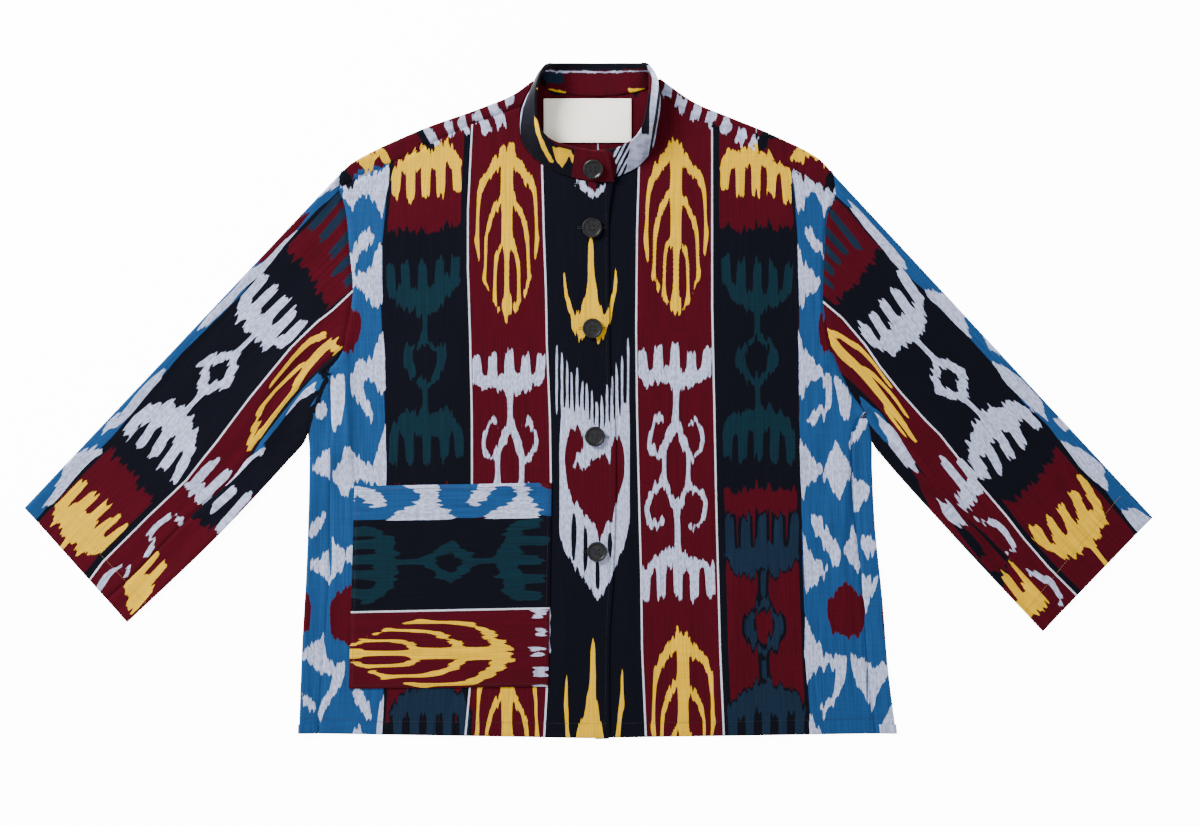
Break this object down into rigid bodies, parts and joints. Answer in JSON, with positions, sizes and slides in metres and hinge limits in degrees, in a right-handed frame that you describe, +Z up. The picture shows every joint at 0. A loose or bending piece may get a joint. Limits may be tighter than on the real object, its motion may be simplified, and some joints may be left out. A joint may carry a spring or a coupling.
{
  "type": "ikat jacket",
  "caption": "Band-collared, buttoned ikat jacket with wide sleeves and one patch pocket, laid flat with its front up.",
  "frame": {"origin": "on the surface that the jacket lies on, under the middle of its outline", "axes": "+X from the wearer's right cuff to the left one, +Y from the hem to the collar, +Z up out of the front"},
  "size_m": [1.1274, 0.6724, 0.0275],
  "materials": {
    "ikat": "matt handwoven cotton in warp-dyed bands of burgundy, black, blue, white and yellow",
    "collar_cloth": "matt handwoven cotton over a firm interlining",
    "label_cloth": "smooth cream woven tape, bare",
    "button": "satin charcoal resin with a raised rim and four holes"
  },
  "bodies": {
    "root": {"back": "ikat", "front_over": "ikat", "front_under": "ikat", "sleeve_over": "ikat", "sleeve_under": "ikat", "collar": "collar_cloth", "pocket": "ikat", "label": "label_cloth", "button_1": "button", "button_2": "button", "button_3": "button", "button_4": "button", "button_5": "button"}
  },
  "joints": []
}
